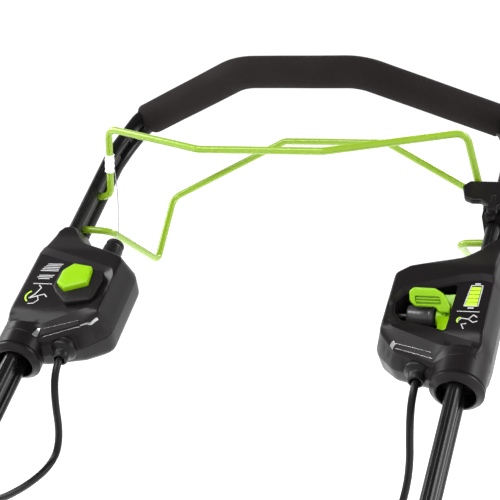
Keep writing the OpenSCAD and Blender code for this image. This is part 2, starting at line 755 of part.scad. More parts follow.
// A tyre with blocks of tread, on the axis X
module tyre(r, rim_r) {
    difference() {
        rotate([0, 90, 0]) rotate_extrude($fn = 96) difference() {
            translate([rim_r, 0]) translate([(r - rim_r) / 2, 0]) rounded_rect(r - rim_r, tyre_w, 9);
            translate([0, -50]) square([rim_r + 1, 100]);
        }
        for (i = [0:23]) rotate([i * 15, 0, 0]) translate([-tyre_w, -2, r - 4]) cube([2 * tyre_w, 4, 10]);
    }
}

module rim(r, side) {
    rotate([0, side > 0 ? 90 : -90, 0]) difference() {
        union() {
            rotate_extrude($fn = 96) polygon([
                [0, -14], [20, -14], [22, 2], [r - 14, 6], [r - 6, -19], [r + 0.9, -19], [r + 0.9, 19],
                [r - 6, 19], [r - 12, 11], [24, 10], [20, 16], [0, 16]]);
        }
        translate([0, 0, -20]) cylinder(r = shaft_r + run, h = 33);
        for (i = [0:7]) rotate(i * 45) translate([r * 0.62, 0, -20]) cylinder(r = r * 0.13, h = 60);
    }
}

module front_wheel_at(side) {
    deck_at() translate([side * wheel_x, front_axle_y, front_r]) children();
}

module rear_wheel_at(side) {
    deck_at() translate([side * wheel_x, rear_axle_y, rear_r]) children();
}

module deck_screws() color(STEEL) deck_at() {
    for (x = [-1, 1], y = [238, 288]) translate([x * 210, y, deck_top + 3]) cylinder(r = 5, h = 4, $fn = 6);
    for (a = [45:90:315]) rotate(a) translate([70, 0, deck_top + 6]) cylinder(r = 5, h = 4, $fn = 6);
}

handle_frame();
foam_grip();
bail_bushes();
blade_bail();
drive_bail();
left_box_front();
left_box_back();
left_panel();
start_button();
button_spring();
start_switch();
cable_boot();
bail_cable();
bail_cable_clip();
right_box_front();
right_box_back();
right_panel();
lever_drum();
speed_lever();
paddle_clamp();
speed_paddle();
cable_glands();
left_cable();
right_cable();
cable_grommets();
lower_rails();
cam_lever_left();
cam_lever_right();
handle_brackets();
deck_shell();
front_brackets();
side_door_lugs();
front_fascia();
motor_cowl();
motor();
blade_spindle();
blade();
blade_bolt();
battery_tray();
battery_pack();
battery_lid();
safety_key();
rear_door();
side_door();
front_axle();
rear_axle();
drive_gearbox();
drive_shaft();
height_lever();
height_sector();
height_link();
color(RUBBER) front_wheel_at(-1) tyre(front_r, 66);  // front_left_tyre
color(TRIM) front_wheel_at(-1) rim(66, -1);  // front_left_rim
color(RUBBER) front_wheel_at(1) tyre(front_r, 66);  // front_right_tyre
color(TRIM) front_wheel_at(1) rim(66, 1);  // front_right_rim
color(RUBBER) rear_wheel_at(-1) tyre(rear_r, 86);  // rear_left_tyre
color(TRIM) rear_wheel_at(-1) rim(86, -1);  // rear_left_rim
color(RUBBER) rear_wheel_at(1) tyre(rear_r, 86);  // rear_right_tyre
color(TRIM) rear_wheel_at(1) rim(86, 1);  // rear_right_rim
deck_screws();
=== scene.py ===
import json
import math

import bmesh
import bpy
import numpy as np
from mathutils import Matrix, Quaternion, Vector
from mathutils.bvhtree import BVHTree
from mathutils.geometry import delaunay_2d_cdt


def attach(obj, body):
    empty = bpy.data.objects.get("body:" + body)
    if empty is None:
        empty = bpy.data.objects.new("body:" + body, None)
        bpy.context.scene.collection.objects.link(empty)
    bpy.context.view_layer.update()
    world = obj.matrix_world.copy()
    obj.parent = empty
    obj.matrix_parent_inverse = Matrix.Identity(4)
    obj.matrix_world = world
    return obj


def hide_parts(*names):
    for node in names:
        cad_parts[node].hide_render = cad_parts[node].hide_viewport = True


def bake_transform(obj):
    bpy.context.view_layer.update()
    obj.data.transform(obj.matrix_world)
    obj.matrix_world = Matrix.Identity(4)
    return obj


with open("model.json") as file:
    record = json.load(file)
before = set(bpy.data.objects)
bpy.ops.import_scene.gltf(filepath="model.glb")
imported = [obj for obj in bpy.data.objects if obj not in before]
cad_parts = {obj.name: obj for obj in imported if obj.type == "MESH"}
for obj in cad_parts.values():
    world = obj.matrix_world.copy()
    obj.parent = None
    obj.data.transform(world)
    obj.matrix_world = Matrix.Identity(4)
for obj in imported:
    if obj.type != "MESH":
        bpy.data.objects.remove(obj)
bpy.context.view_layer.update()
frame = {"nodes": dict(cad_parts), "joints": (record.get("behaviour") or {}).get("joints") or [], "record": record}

MM = 0.001

# ---------- places, all taken from the frame ----------

JOINTS = {j["name"]: j for j in frame["joints"]}
ACROSS = Vector((1, 0, 0))
UP = -Vector(JOINTS["handle_slide"]["axis"])      # up along the rails
OUT = ACROSS.cross(UP)                            # out of the handle's front
HANDLE = Matrix.Translation(JOINTS["drive_bail_push"]["pos_m"]) @ (
    Matrix((ACROSS, UP, OUT)).transposed().to_4x4() @ Matrix.Scale(MM, 4))


def at(u, v, w):
    """A point of the handle, in metres in the frame. u is across, v up along the rail and w out of its front,
    all in millimetres from where the drive bail turns."""
    return HANDLE @ Vector((u, v, w))


# ---------- camera ----------

def make_camera():
    data = bpy.data.cameras.new("camera")
    data.lens = 117.6
    data.sensor_width = 36
    data.clip_start = 0.05
    data.clip_end = 100
    camera = bpy.data.objects.new("camera", data)
    bpy.context.scene.collection.objects.link(camera)
    place = at(564.7, -1213.7, 1160.9)
    target = at(63.1, -201.8, 173.7)
    camera.location = place
    camera.rotation_mode = "QUATERNION"
    camera.rotation_quaternion = (target - place).to_track_quat("-Z", "Y")
    bpy.context.scene.camera = camera


# ---------- materials ----------

def noise(tree, coords, scale, detail=3, rough=0.5, stretch=(1, 1, 1)):
    mapping = tree.nodes.new("ShaderNodeMapping")
    mapping.inputs["Scale"].default_value = stretch
    tree.links.new(coords, mapping.inputs["Vector"])
    node = tree.nodes.new("ShaderNodeTexNoise")
    node.inputs["Scale"].default_value = scale
    node.inputs["Detail"].default_value = detail
    node.inputs["Roughness"].default_value = rough
    tree.links.new(mapping.outputs["Vector"], node.inputs["Vector"])
    return node.outputs["Fac"]


def spread(tree, value, low, high):
    """The noise, whose middle half is stretched to the range from low to high."""
    node = tree.nodes.new("ShaderNodeMapRange")
    node.inputs["From Min"].default_value = 0.3
    node.inputs["From Max"].default_value = 0.7
    node.inputs["To Min"].default_value = low
    node.inputs["To Max"].default_value = high
    tree.links.new(value, node.inputs["Value"])
    return node.outputs["Result"]


def material(name, dark, light, rough, patch=9, grain=900, bump=0.1, height=0.00012, stretch=(1, 1, 1),
             metallic=0.0, specular=0.5, coat=0.0, sheen=0.0, cells=0):
    """A surface whose colour wanders between dark and light and whose roughness wanders over rough,
    with a fine bump of the grain's scale, in points per metre. cells adds a second bump of closed cells."""
    made = bpy.data.materials.new(name)
    made.use_nodes = True
    tree = made.node_tree
    shader = next(n for n in tree.nodes if n.type == "BSDF_PRINCIPLED")
    coords = tree.nodes.new("ShaderNodeTexCoord").outputs["Object"]
    mix = tree.nodes.new("ShaderNodeMix")
    mix.data_type = "RGBA"
    mix.inputs["A"].default_value = (*dark, 1)
    mix.inputs["B"].default_value = (*light, 1)
    tree.links.new(spread(tree, noise(tree, coords, patch, 5, 0.6), 0, 1), mix.inputs["Factor"])
    tree.links.new(mix.outputs["Result"], shader.inputs["Base Color"])
    polish = spread(tree, noise(tree, coords, patch * 4, 3, 0.5, stretch), *rough)
    tree.links.new(polish, shader.inputs["Roughness"])
    bumper = tree.nodes.new("ShaderNodeBump")
    bumper.inputs["Strength"].default_value = bump
    bumper.inputs["Distance"].default_value = height
    tree.links.new(noise(tree, coords, grain, 2, 0.5, stretch), bumper.inputs["Height"])
    if cells:
        cell = tree.nodes.new("ShaderNodeTexVoronoi")
        cell.inputs["Scale"].default_value = cells
        tree.links.new(coords, cell.inputs["Vector"])
        second = tree.nodes.new("ShaderNodeBump")
        second.inputs["Strength"].default_value = bump
        second.inputs["Distance"].default_value = height
        tree.links.new(cell.outputs["Distance"], second.inputs["Height"])
        tree.links.new(bumper.outputs["Normal"], second.inputs["Normal"])
        bumper = second
    tree.links.new(bumper.outputs["Normal"], shader.inputs["Normal"])
    shader.inputs["Metallic"].default_value = metallic
    shader.inputs["Specular IOR Level"].default_value = specular
    shader.inputs["Coat Weight"].default_value = coat
    shader.inputs["Coat Roughness"].default_value = 0.08
    shader.inputs["Sheen Weight"].default_value = sheen
    return made


MATERIALS = {
    "black_rail": material("black_rail", (0.0050, 0.0045, 0.0046), (0.0085, 0.0077, 0.0079), (0.20, 0.28),
                           grain=700, bump=0.06, specular=0.20),
    "foam": material("foam", (0.0115, 0.0090, 0.0092), (0.0175, 0.0140, 0.0143), (0.84, 0.95), patch=14,
                     grain=1500, bump=0.5, height=0.0005, specular=0.09, cells=900),
    "black_plastic": material("black_plastic", (0.0062, 0.0048, 0.0053), (0.0088, 0.0068, 0.0075),
                              (0.31, 0.36), patch=5, grain=2600, bump=0.10, height=0.00006, specular=0.17),
    "dark_panel": material("dark_panel", (0.0052, 0.0043, 0.0047), (0.0078, 0.0063, 0.0069), (0.40, 0.48),
                           grain=2200, bump=0.14, height=0.00008, specular=0.16),
    "lime_rod": material("lime_rod", (0.205, 0.345, 0.010), (0.230, 0.375, 0.016), (0.17, 0.23), patch=10,
                         grain=160, bump=0.03, height=0.00015, specular=0.4, coat=0.15),
    "lime_plastic": material("lime_plastic", (0.215, 0.450, 0.0007), (0.240, 0.490, 0.0012), (0.28, 0.34),
                             patch=20, grain=1800, bump=0.06, height=0.00006, specular=0.26),
    "black_rubber": material("black_rubber", (0.0055, 0.0046, 0.0050), (0.0085, 0.0073, 0.0078), (0.30, 0.40),
                             grain=1600, bump=0.12, specular=0.18),
    "clear_clip": material("clear_clip", (0.80, 0.83, 0.84), (0.90, 0.92, 0.92), (0.15, 0.3), patch=60,
                           grain=700, bump=0.1, specular=0.5),
    "steel": material("steel", (0.50, 0.50, 0.51), (0.66, 0.66, 0.67), (0.22, 0.36), patch=18, grain=260,
                      bump=0.12, stretch=(0.08, 1, 1), metallic=1.0),
    "deck_paint": material("deck_paint", (0.010, 0.010, 0.011), (0.015, 0.015, 0.016), (0.26, 0.36), patch=6,
                           grain=520, bump=0.15, height=0.0002, specular=0.35),
    "tyre_rubber": material("tyre_rubber", (0.009, 0.009, 0.009), (0.018, 0.017, 0.016), (0.6, 0.8), patch=12,
                            grain=900, bump=0.3, height=0.0003, specular=0.2),
    "wheel_plastic": material("wheel_plastic", (0.018, 0.018, 0.020), (0.028, 0.028, 0.030), (0.34, 0.46),
                              grain=1800, bump=0.15, specular=0.3),
}
# silver for the steel wire, the bar's tip and the diamond; the same silver also draws painted highlight lines
# along the raised bars' edges
SILVER_AND_HIGHLIGHT = material("silver_and_painted_highlight", (0.30, 0.30, 0.31), (0.42, 0.42, 0.43), (0.24, 0.32), patch=90, grain=2000,
                  metallic=0.8)
# painted light: the drum's grey is raised above the other dark plastic to stand in for the light that the well's
# shade keeps off it
LIGHTENED_DRUM = material("drum_grey_painted_light", (0.030, 0.028, 0.030), (0.040, 0.037, 0.040), (0.24, 0.30), patch=9, grain=1800,
                bump=0.05, specular=0.45)
WHITE_PRINT = material("white_print", (0.50, 0.50, 0.51), (0.60, 0.60, 0.61), (0.45, 0.6), patch=200,
                       grain=3000)
LIME_PRINT = material("lime_print", (0.42, 0.78, 0.02), (0.50, 0.85, 0.04), (0.4, 0.5), patch=120, grain=3000)


def paint_cad_nodes():
    """Gives each CAD node the material of its slot, and a small round on its edges."""
    for part in frame["record"]["subparts"]:
        node = frame["nodes"][part["node"]]
        node.data.materials.clear()
        node.data.materials.append(MATERIALS[part["material_slot"]])
        weld = node.modifiers.new("weld", "WELD")
        weld.merge_threshold = 0.00002
        edge = node.modifiers.new("edge", "BEVEL")
        edge.width = 0.0007
        edge.segments = 2
        edge.limit_method = "ANGLE"
        edge.angle_limit = math.radians(40)
        edge.use_clamp_overlap = True
        node.modifiers.new("normals", "WEIGHTED_NORMAL").keep_sharp = True


# ---------- pieces ----------

def piece(name, points, faces, finish, body, place=HANDLE, smooth=38, replaces=(), look=None):
    """A mesh piece from points in millimetres, with edges sharper than smooth degrees kept crisp.
    finish is its material slot, and look is a material other than the slot's."""
    mesh = bpy.data.meshes.new(name)
    mesh.from_pydata([place @ Vector(p) for p in points], [], faces)
    work = bmesh.new()
    work.from_mesh(mesh)
    bmesh.ops.remove_doubles(work, verts=work.verts, dist=1e-6)
    bmesh.ops.dissolve_degenerate(work, edges=work.edges, dist=1e-7)
    bmesh.ops.recalc_face_normals(work, faces=work.faces)
    for face in work.faces:
        face.smooth = True
    work.to_mesh(mesh)
    work.free()
    mesh.set_sharp_from_angle(angle=math.radians(smooth))
    made = bpy.data.objects.new(name, mesh)
    bpy.context.scene.collection.objects.link(made)
    mesh.materials.append(look or MATERIALS[finish])
    if body:
        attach(made, body)
    if replaces:
        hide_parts(*replaces)
    return made


def joined(*parts):
    """Several (points, faces) as one."""
    points, faces = [], []
    for p, f in parts:
        base = len(points)
        points += list(p)
        faces += [[base + i for i in face] for face in f]
    return points, faces


def flipped(part):
    """The part mirrored to the other side."""
    return [(-p[0], p[1], p[2]) for p in part[0]], [list(reversed(f)) for f in part[1]]


def spline(points, n):
    """A smooth curve through the points, with n steps between each two."""
    p = [Vector(q) for q in points]
    made = []
    for i in range(len(p) - 1):
        a, b, c, d = p[max(i - 1, 0)], p[i], p[i + 1], p[min(i + 2, len(p) - 1)]
        for k in range(n):
            t = k / n
            made.append(0.5 * (2 * b + t * (c - a) + t * t * (2 * a - 5 * b + 4 * c - d)
                               + t ** 3 * (3 * b - a - 3 * c + d)))
    return made + [p[-1]]


def bent(points, radius, n=10):
    """A bent rod's centre line: straight runs with an arc of the bending radius at each corner."""
    p = [Vector(q) for q in points]
    made = [p[0]]
    for i in range(1, len(p) - 1):
        a, b = (p[i - 1] - p[i]).normalized(), (p[i + 1] - p[i]).normalized()
        half = a.angle(b) / 2
        room = 0.48 * min((p[i - 1] - p[i]).length, (p[i + 1] - p[i]).length)
        reach = min(radius / math.tan(half), room)
        r = reach * math.tan(half)
        centre = p[i] + (a + b).normalized() * (r / math.sin(half))
        start, end = p[i] + a * reach - centre, p[i] + b * reach - centre
        turn = start.rotation_difference(end)
        made += [centre + Quaternion().slerp(turn, k / n) @ start for k in range(n + 1)]
    return made + [p[-1]]


def there_and_back(points):
    return points + [(-p[0], p[1], p[2]) for p in reversed(points)]


def frames(path, side):
    """The direction along the path at each point, and a sideways direction carried along it without twist."""
    p = [Vector(q) for q in path]
    made, s = [], Vector(side)
    for i, q in enumerate(p):
        t = (p[min(i + 1, len(p) - 1)] - p[max(i - 1, 0)]).normalized()
        s = (s - t * s.dot(t)).normalized()
        made.append((q, t, s, t.cross(s)))
    return made


def sweep(path, section, side=(0, 1, 0), round_ends=0.0, steps=4):
    """A closed solid with the section drawn along the path. section is a list of points, or gives one for
    each place from 0 to 1 along the path; round_ends rounds the ends over that many millimetres."""
    rows = frames(path, side)
    rings = []
    for i, (q, t, s, c) in enumerate(rows):
        outline = section(i / (len(rows) - 1)) if callable(section) else section
        rings.append([q + a * s + b * c for a, b in outline])
    if round_ends:
        widest = max(math.hypot(a, b) for a, b in (section(0) if callable(section) else section))
        for end, sign in ((0, -1), (-1, 1)):
            q, t, s, c = rows[end]
            caps = []
            for k in range(1, steps + 1):
                angle = math.pi / 2 * k / steps
                shrink = 1 - round_ends * (1 - math.cos(angle)) / widest
                shift = t * sign * round_ends * math.sin(angle)
                caps.append([q + (p - q) * shrink + shift for p in rings[end]])
            rings = list(reversed(caps)) + rings if sign < 0 else rings + caps
    n = len(rings[0])
    points = [p for ring in rings for p in ring]
    faces = [[r * n + k, r * n + (k + 1) % n, (r + 1) * n + (k + 1) % n, (r + 1) * n + k]
             for r in range(len(rings) - 1) for k in range(n)]
    faces += [list(range(n)), list(range((len(rings) - 1) * n, len(rings) * n))]
    return points, faces


def oval(a, b, n=24):
    return [(a * math.cos(2 * math.pi * k / n), b * math.sin(2 * math.pi * k / n)) for k in range(n)]


def turned(profile, n=48, place=None):
    """A solid of revolution about its own Z from (radius, height) points that start and end on the axis."""
    points, faces = [], []
    turn = [2 * math.pi * k / n for k in range(n)]
    for r, z in profile:
        points += [Vector((r * math.cos(a), r * math.sin(a), z)) for a in turn]
    for i in range(len(profile) - 1):
        for k in range(n):
            a, b = i * n + k, i * n + (k + 1) % n
            faces.append([a, b, b + n, a + n])
    if place is not None:
        points = [place @ p for p in points]
    return points, faces


def ring_turned(profile, n=48, place=None):
    """As turned, for a closed profile that doesn't reach the axis."""
    return turned(profile + [profile[0]], n, place)


def along_v(u):
    """Places a turned solid with its axis along the rail; its heights are its places up the rail."""
    return Matrix.Translation((u, 0, 0)) @ Matrix.Rotation(-math.pi / 2, 4, "X")


def along_u(u, v, w):
    """Places a turned solid with its axis across the handle; its heights run to the right from u."""
    return Matrix.Translation((u, v, w)) @ Matrix.Rotation(math.pi / 2, 4, "Y")


# ---------- cords ----------

LEFT_CABLE = [
    (-187, -170, 0), (-187, -190, 0), (-187, -205, -1), (-187, -218, -8), (-187, -228, -20),
    (-187, -236, -35), (-187, -243, -51), (-188, -251, -65), (-190, -263, -75), (-194, -280, -77),
    (-198, -300, -71), (-202, -322, -60), (-206, -345, -45), (-209, -364, -28), (-212, -379, -12),
    (-219, -388, -3), (-231, -390, 0)]
RIGHT_CABLE = [
    (193, -170, 0), (193, -190, 0), (193, -205, -1), (192, -218, -8), (191, -229, -21),
    (190, -238, -38), (189, -247, -57), (186, -257, -77), (181, -269, -95), (175, -286, -109),
    (171, -306, -116), (170, -328, -113), (175, -348, -98), (184, -364, -75), (194, -376, -49),
    (204, -385, -24), (216, -390, -6), (231, -390, 0)]
CABLE_D = 8.0
BAIL_WIRE = [(-184, -60, 0), (-184, -20, 0), (-187, 5, 13), (-193, 32, 29), (-202, 58, 43)]
WIRE_R = 0.55


def make_cord(name, route, node):
    data = bpy.data.curves.new(name, "CURVE")
    data.dimensions = "3D"
    line = data.splines.new("POLY")
    points = [HANDLE @ p for p in spline(route, 5)]
    line.points.add(len(points) - 1)
    for place, p in zip(line.points, points):
        place.co = (*p, 1)
    data.bevel_depth = CABLE_D / 2 * MM
    data.bevel_resolution = 5
    data.use_fill_caps = True
    data.materials.append(MATERIALS["black_rubber"])
    made = bpy.data.objects.new(name, data)
    bpy.context.scene.collection.objects.link(made)
    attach(made, "upper_handle")
    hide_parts(node)
    length = sum((b - a).length for a, b in zip(points, points[1:]))
    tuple(points[0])


# ---------- stage ----------

def make_stage():
    floor = bpy.data.meshes.new("floor")
    half = 40
    corners = [(-half, -half, 0), (half, -half, 0), (half, half, 0), (-half, half, 0)]
    floor.from_pydata(corners, [], [(0, 1, 2, 3)])
    look = bpy.data.materials.new("floor_white")
    look.use_nodes = True
    shader = next(n for n in look.node_tree.nodes if n.type == "BSDF_PRINCIPLED")
    shader.inputs["Base Color"].default_value = (0.94, 0.94, 0.94, 1)
    shader.inputs["Roughness"].default_value = 0.9
    shader.inputs["Specular IOR Level"].default_value = 0.0
    shader.inputs["Emission Color"].default_value = (1, 1, 1, 1)
    shader.inputs["Emission Strength"].default_value = 0.72
    floor.materials.append(look)
    plane = bpy.data.objects.new("floor", floor)
    bpy.context.scene.collection.objects.link(plane)
    world = bpy.data.worlds.new("studio")
    bpy.context.scene.world = world
    world.use_nodes = True
    tree = world.node_tree
    back = next(n for n in tree.nodes if n.type == "BACKGROUND")
    # white walls all round and a dark ceiling
    coords = tree.nodes.new("ShaderNodeTexCoord")
    parts = tree.nodes.new("ShaderNodeSeparateXYZ")
    tree.links.new(coords.outputs["Generated"], parts.inputs["Vector"])
    height = tree.nodes.new("ShaderNodeMapRange")
    height.interpolation_type = "SMOOTHSTEP"
    height.inputs["From Min"].default_value = 0.42
    height.inputs["From Max"].default_value = 0.80
    height.inputs["To Min"].default_value = 1.06
    height.inputs["To Max"].default_value = 0.14
    tree.links.new(parts.outputs["Z"], height.inputs["Value"])
    back.inputs["Color"].default_value = (1, 1, 1, 1)
    tree.links.new(height.outputs["Result"], back.inputs["Strength"])
    bpy.context.scene.view_settings.view_transform = "Standard"


def area_light(name, place, target, size, power):
    data = bpy.data.lights.new(name, "AREA")
    data.shape = "RECTANGLE"
    data.size, data.size_y = size
    data.energy = power
    made = bpy.data.objects.new(name, data)
    bpy.context.scene.collection.objects.link(made)
    made.location = place
    made.rotation_mode = "QUATERNION"
    made.rotation_quaternion = (Vector(target) - Vector(place)).to_track_quat("-Z", "Y")


def make_lights():
    middle = at(0, 0, 0)
    area_light("key", middle + Vector((-0.9, -1.7, 2.1)), middle, (2.4, 0.9), 75)
    area_light("left", middle + Vector((-2.4, 0.2, 1.2)), middle, (1.0, 1.6), 50)
    area_light("right", middle + Vector((2.3, 0.4, 1.1)), middle, (0.7, 1.6), 40)
    area_light("rim", middle + Vector((0.3, 2.0, 1.6)), middle, (2.0, 0.5), 30)


# ---------- handle ----------

RAIL_X = 235       # from the middle of the handle to each rail
LOBE_R = 7.25      # each rail's two lobes
LOBE_W = 10.5      # from the rail's middle to each lobe's
TUBE = (10, 12.5)  # the grip tube's half sizes
FOAM = (15.5, 20)  # the foam's outside
FOAM_HOLE = (10.3, 12.8)
GRIP = bent(there_and_back([(215, 194, 2), (71, 171, 91)]), 60, 14)


def rail_section():
    """Two round lobes joined by a thin web, with a shallow groove along the crown of each lobe."""
    half = []
    web, groove, steps = 3, 1.5, 30
    waist = math.asin(web / LOBE_R)
    for k in range(steps + 1):
        angle = -math.pi / 2 + waist + (2 * math.pi - 2 * waist) * k / steps
        off_crown = abs(angle - math.pi / 2) * LOBE_R
        depth = max(0.0, 1 - off_crown / groove)
        half.append(((LOBE_R - depth) * math.cos(angle), LOBE_W + (LOBE_R - depth) * math.sin(angle)))
    return half + [(-x, -y) for x, y in half]


def make_handle_tube():
    section = [(b, -a) for b, a in rail_section()]
    rail = sweep([(RAIL_X, v, 0) for v in (-700, -500, -300, -100, 60, 118)], section, (1, 0, 0))
    # above the straight rail the lobes part a little and bend towards the grip
    middle = [(235, 110, 0), (234.5, 122, 0), (232.8, 135, 0), (229.6, 149, 1), (226, 163, 2),
              (220.5, 179, 4), (212.5, 190, 6), (204, 191, 9)]
    lean = [0, 0, 0, 0, 5, 15, 30, 30]
    near = [LOBE_W, LOBE_W, LOBE_W, 10.2, 9.6, 8.8, 8, 8]
    lobes = []
    for s in (-1, 1):
        line = [Vector(p) + s * n * Vector((math.sin(math.radians(a)), 0, math.cos(math.radians(a))))
                for p, n, a in zip(middle, near, lean)]
        lobes.append(sweep(spline(line, 4), oval(LOBE_R - 0.1, LOBE_R - 0.1, 24), (1, 0, 0), 1))
    # the web between the lobes, cut away in two slots
    webs = [sweep(line, [(a, b), (-a, b), (-a, -b), (a, -b)], (1, 0, 0)) for line, a, b in (
        ([(RAIL_X - 0.2, 112, 0), (RAIL_X - 1.2, 128, 0)], 3, 9),
        ([(228.4, 153, 1), (226.2, 161, 2)], 2.4, 8),
        ([(222.6, 173, 3), (218, 182, 5)], 2.4, 7))]
    core = sweep(GRIP, oval(*TUBE, 24))
    one = joined(rail, *lobes, *webs)
    points, faces = joined(one, flipped(one), core)
    piece("handle_tube", points, faces, "black_rail", "upper_handle", replaces=("handle_frame",))


def make_foam_grip():
    """The foam sleeve: an oval tube that follows the bent grip, with rolled ends and a soft waviness."""
    n, roll, roll_steps, spacing = 56, 3.0, 4, 6
    rows = frames(GRIP, (0, 1, 0))
    # closer rings on the straight runs
    dense = []
    for row, following in zip(rows, rows[1:]):
        steps = max(1, round((following[0] - row[0]).length / spacing))
        for k in range(steps):
            q, *turned_with = (a.lerp(b, k / steps) for a, b in zip(row, following))
            dense.append((q, *(v.normalized() for v in turned_with)))
    dense.append(rows[-1])

    def ring(row, a, b, push=0.0, wave=0.0):
        q, t, s, c = row
        made = []
        for k in range(n):
            angle = 2 * math.pi * k / n
            wobble = 1 + wave * math.sin(3 * angle + q.x * 0.05) * math.cos(q.x * 0.031)
            made.append(q + t * push + s * a * wobble * math.cos(angle) + c * b * wobble * math.sin(angle))
        return made

    def rolled(row, sign):
        """The rings of a rolled end, from its face to its full size."""
        made = []
        for k in range(roll_steps + 1):
            angle = math.pi / 2 * k / roll_steps
            cut = roll * (1 - math.sin(angle))
            made.append(ring(row, FOAM[0] - cut, FOAM[1] - cut, sign * roll * (1 - math.cos(angle))))
        return made
    rings = rolled(dense[0], 1) + [ring(row, *FOAM, wave=0.006) for row in dense[1:-1]]
    rings += reversed(rolled(dense[-1], -1))
    rings += [ring(row, *FOAM_HOLE) for row in reversed(dense)]
    points = [p for r in rings for p in r]
    faces = []
    for r in range(len(rings)):
        here, there = r * n, (r + 1) % len(rings) * n
        faces += [[here + k, here + (k + 1) % n, there + (k + 1) % n, there + k] for k in range(n)]
    made = piece("grip_foam", points, faces, "foam", "upper_handle", replaces=("foam_grip",))


BAIL_R = 4.0       # the bails' rod
BAIL_BEND = 15


def make_bails():
    rod = oval(BAIL_R, BAIL_R, 28)
    blade = [(239, 55, 0), (217, 55, 1), (204, 77, 84), (69, 12, 111)]
    drive = [(239, 0, 0), (199, 1, -3), (197, 75, -119), (202, 169, -103), (64, 228, -59)]
    for points, node in ((blade, "blade_bail"), (drive, "drive_bail")):
        made = sweep(bent(there_and_back(points), BAIL_BEND, 12), rod, (0, 0.5, 0.86), 1.2)
        piece(node + "_rod", *made, "lime_rod", node, replaces=(node,), smooth=60)


# ---------- flat-bodied pieces ----------

def rounded_loop(points, r, n=5):
    """A closed outline with each corner rounded to the radius r, which may be one for each corner."""
    p = [Vector(q) for q in points]
    made = []
    for i, q in enumerate(p):
        a, b = p[i - 1] - q, p[(i + 1) % len(p)] - q
        radius = r[i] if isinstance(r, (list, tuple)) else r
        half = a.angle(b) / 2
        if radius <= 0 or half > 1.55:
            made.append(tuple(q))
            continue
        reach = min(radius / math.tan(half), 0.48 * a.length, 0.48 * b.length)
        start, end = q + a.normalized() * reach, q + b.normalized() * reach
        centre = q + (a.normalized() + b.normalized()).normalized() * (reach / math.cos(half))
        for k in range(n + 1):
            spoke = start.lerp(end, k / n) - centre
            made.append(tuple(centre + spoke.normalized() * (start - centre).length))
    return made


def depth_in(loop, points):
    """How far each point is inside the outline; less than nothing outside it."""
    p = np.asarray(points, float)[:, None, :]
    a = np.asarray(loop, float)[None, :, :]
    b = np.roll(a, -1, axis=1)
    ab, ap = b - a, p - a
    t = np.clip((ap * ab).sum(2) / np.maximum((ab * ab).sum(2), 1e-12), 0, 1)
    near = np.sqrt((((ap - t[..., None] * ab) ** 2).sum(2)).min(1))
    level = (a[..., 1] > p[..., 1]) != (b[..., 1] > p[..., 1])
    cross = a[..., 0] + (p[..., 1] - a[..., 1]) * ab[..., 0] / np.where(ab[..., 1] == 0, 1e-12, ab[..., 1])
    within = ((p[..., 0] < cross) & level).sum(1) % 2 == 1
    return np.where(within, near, -near)


def inset(loop, d):
    """The outline drawn in by d millimetres all round; out by a negative d."""
    p = [Vector(q) for q in loop]
    area = sum(p[i - 1].x * q.y - q.x * p[i - 1].y for i, q in enumerate(p))
    sign = 1 if area > 0 else -1
    made = []
    for i, q in enumerate(p):
        a, b = (q - p[i - 1]).normalized(), (p[(i + 1) % len(p)] - q).normalized()
        na, nb = Vector((-a.y, a.x)), Vector((-b.y, b.x))
        m = (na + nb).normalized()
        made.append(tuple(q + m * (sign * d / max(m.dot(na), 0.5))))
    return made


def densified(loop, step):
    made = []
    for i, q in enumerate(loop):
        a, b = Vector(q), Vector(loop[(i + 1) % len(loop)])
        n = max(1, math.ceil((b - a).length / step))
        made += [tuple(a.lerp(b, k / n)) for k in range(n)]
    return made


def slab(outer, top, bottom, holes=(), guides=(), step=6.0):
    """A closed solid between two height fields over an outline with holes. guides are further loops whose
    edges the surface keeps; step is the distance between the points filled in between."""
    loops = [densified(l, step) for l in (outer, *holes, *guides)]
    points, edges = [], []
    for l in loops:
        base = len(points)
        points += l
        edges += [(base + i, base + (i + 1) % len(l)) for i in range(len(l))]
    low, high = np.min(outer, axis=0), np.max(outer, axis=0)
    grid = np.array([(x, y) for x in np.arange(low[0] + step / 2, high[0], step)
                     for y in np.arange(low[1] + step / 2, high[1], step)])
    if len(grid):
        keep = depth_in(outer, grid) > step * 0.4
        for l in (*holes, *guides):
            keep &= np.abs(depth_in(l, grid)) > step * 0.4
        points += [tuple(g) for g in grid[keep]]
    flat, _, faces, _, _, _ = delaunay_2d_cdt([Vector(p) for p in points], edges, [], 0, 1e-4)
    middles = np.array([[sum(flat[i][k] for i in f) / len(f) for k in (0, 1)] for f in faces])
    keep = depth_in(outer, middles) > 0
    for l in holes:
        keep &= depth_in(l, middles) < 0
    faces = [f for f, k in zip(faces, keep) if k]
    used = sorted({i for f in faces for i in f})
    number = {old: new for new, old in enumerate(used)}
    place = np.array([tuple(flat[i]) for i in used])
    up, down = top(place), bottom(place)
    n = len(used)
    made = [(x, y, z) for (x, y), z in zip(place, up)] + [(x, y, z) for (x, y), z in zip(place, down)]
    upper = [[number[i] for i in f] for f in faces]
    seen = {}
    for f in upper:
        for i, a in enumerate(f):
            b = f[(i + 1) % len(f)]
            seen[(min(a, b), max(a, b))] = seen.get((min(a, b), max(a, b)), 0) + 1
    walls = [[a, b, b + n, a + n] for (a, b), count in seen.items() if count == 1]
    return made, upper + [[i + n for i in reversed(f)] for f in upper] + walls


def level(z):
    return lambda p: np.full(len(p), float(z))


def rounded_top(outer, z, r):
    """The height field z, rounded down by r at the outline."""
    def field(p):
        d = np.clip(depth_in(outer, p), 0, r)
        return z - r + np.sqrt(np.maximum(r * r - (r - d) ** 2, 0))
    return field


def plate(outer, low, high, r=1.0, holes=(), step=8.0, both=False):
    """A flat plate whose upper edge is rounded by r; the lower edge too if both."""
    guides = [inset(outer, r * k) for k in (0.12, 0.45, 1.0)]
    under = rounded_top(outer, -low, r)
    return slab(outer, rounded_top(outer, high, r), (lambda p: -under(p)) if both else level(low),
                holes=holes, guides=guides, step=step)


# ---------- control boxes ----------

